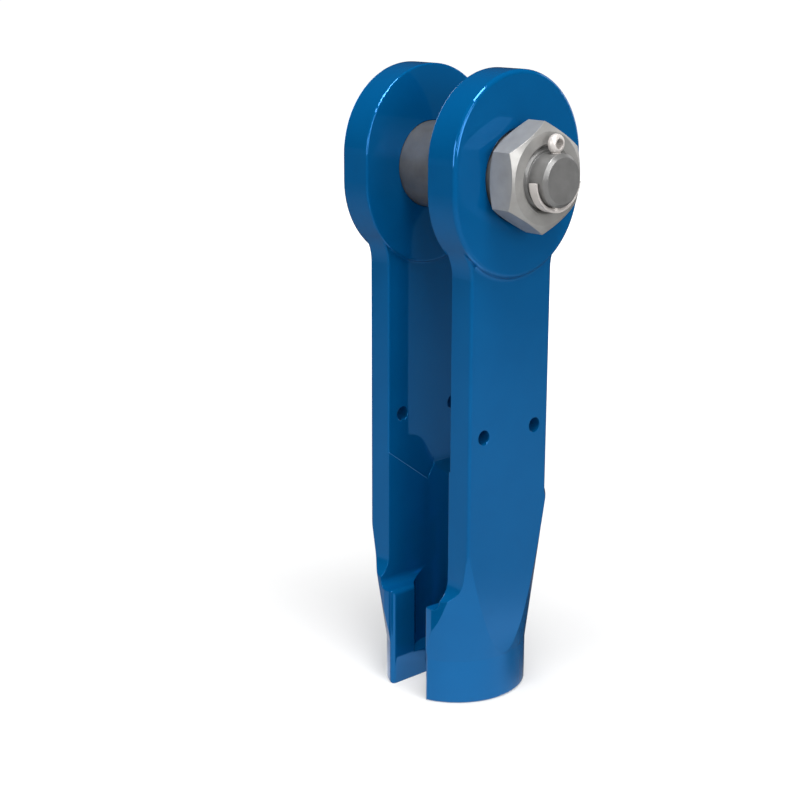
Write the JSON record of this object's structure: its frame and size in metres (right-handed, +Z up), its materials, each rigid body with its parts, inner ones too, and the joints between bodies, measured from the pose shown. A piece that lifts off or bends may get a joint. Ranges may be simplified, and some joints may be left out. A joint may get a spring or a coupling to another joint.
{
  "type": "slotted clevis wire rope socket",
  "caption": "Painted clevis socket with a side-open ferrule pocket, a rope slot and a bolted clevis pin, for joining a wire rope's pressed ferrule.",
  "frame": {"origin": "centre of the round base face, on the rope's axis", "axes": "+Z up along the rope's axis to the ears, Y along the clevis pin with the nut towards -Y, -X out of the open front of the ferrule pocket"},
  "size_m": [0.1026, 0.1416, 0.381],
  "materials": {
    "blue_paint": "gloss",
    "pin_steel": "satin",
    "nut_steel": "satin",
    "wire_steel": "bright"
  },
  "bodies": {
    "socket": {"socket_body": "blue_paint"},
    "pin": {"clevis_pin": "pin_steel", "hex_nut": "nut_steel", "split_pin": "wire_steel"}
  },
  "joints": [
    {"name": "pin_turn", "type": "hinge", "parent": "socket", "child": "pin", "pos_m": [0, 0, 0.322], "axis": [0, 1, 0], "continuous": true}
  ]
}
